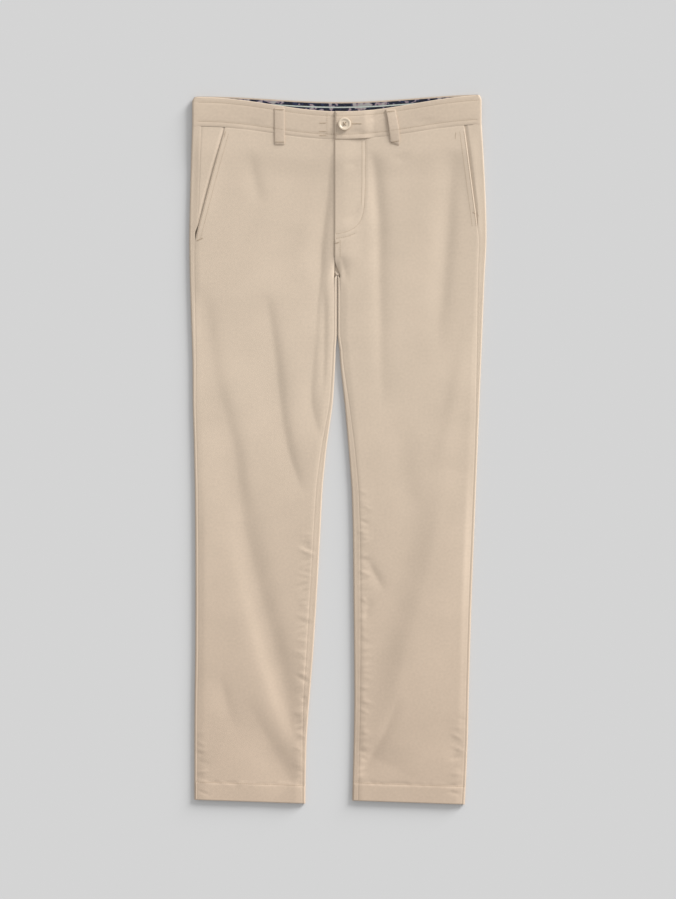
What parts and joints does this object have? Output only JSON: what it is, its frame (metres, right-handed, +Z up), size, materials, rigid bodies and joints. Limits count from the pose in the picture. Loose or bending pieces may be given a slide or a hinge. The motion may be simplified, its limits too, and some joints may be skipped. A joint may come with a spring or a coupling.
{
  "type": "chino trousers, laid flat",
  "caption": "Straight-leg chino trousers in cotton twill, laid flat front up, with waistband, belt loops, slanted pockets, zip fly and waist button.",
  "frame": {"origin": "on the surface the garment lies on, under the middle of its outline", "axes": "+X across the garment towards the wearer's left, +Y from the hems to the waist, +Z up through the front"},
  "size_m": [0.4455, 1.0638, 0.0125],
  "materials": {
    "twill": "matt tan cotton twill with a fine diagonal rib",
    "waistband_twill": "the same tan twill, doubled and pressed",
    "lining_print": "plain-weave cotton, dark navy with mauve and grey blotches",
    "piping": "folded cotton bias strip, pale grey-green",
    "button_shell": "pale horn-like polyester, soft gloss",
    "zip_tape": "woven polyester tape, tan",
    "zip_metal": "satin brass"
  },
  "bodies": {
    "root": {"front_right": "twill", "front_left": "twill", "back_right": "twill", "back_left": "twill", "pocket_facing_right": "twill", "pocket_facing_left": "twill", "waistband_right": "waistband_twill", "waistband_left": "waistband_twill", "lining_upper": "lining_print", "lining_lower": "lining_print", "lining_piping": "piping", "belt_loop_front_right": "waistband_twill", "belt_loop_front_left": "waistband_twill", "belt_loop_back_right": "waistband_twill", "belt_loop_back_centre": "waistband_twill", "belt_loop_back_left": "waistband_twill", "fly_zip": "zip_tape", "zip_slider": "zip_metal", "waist_button": "button_shell"}
  },
  "joints": []
}
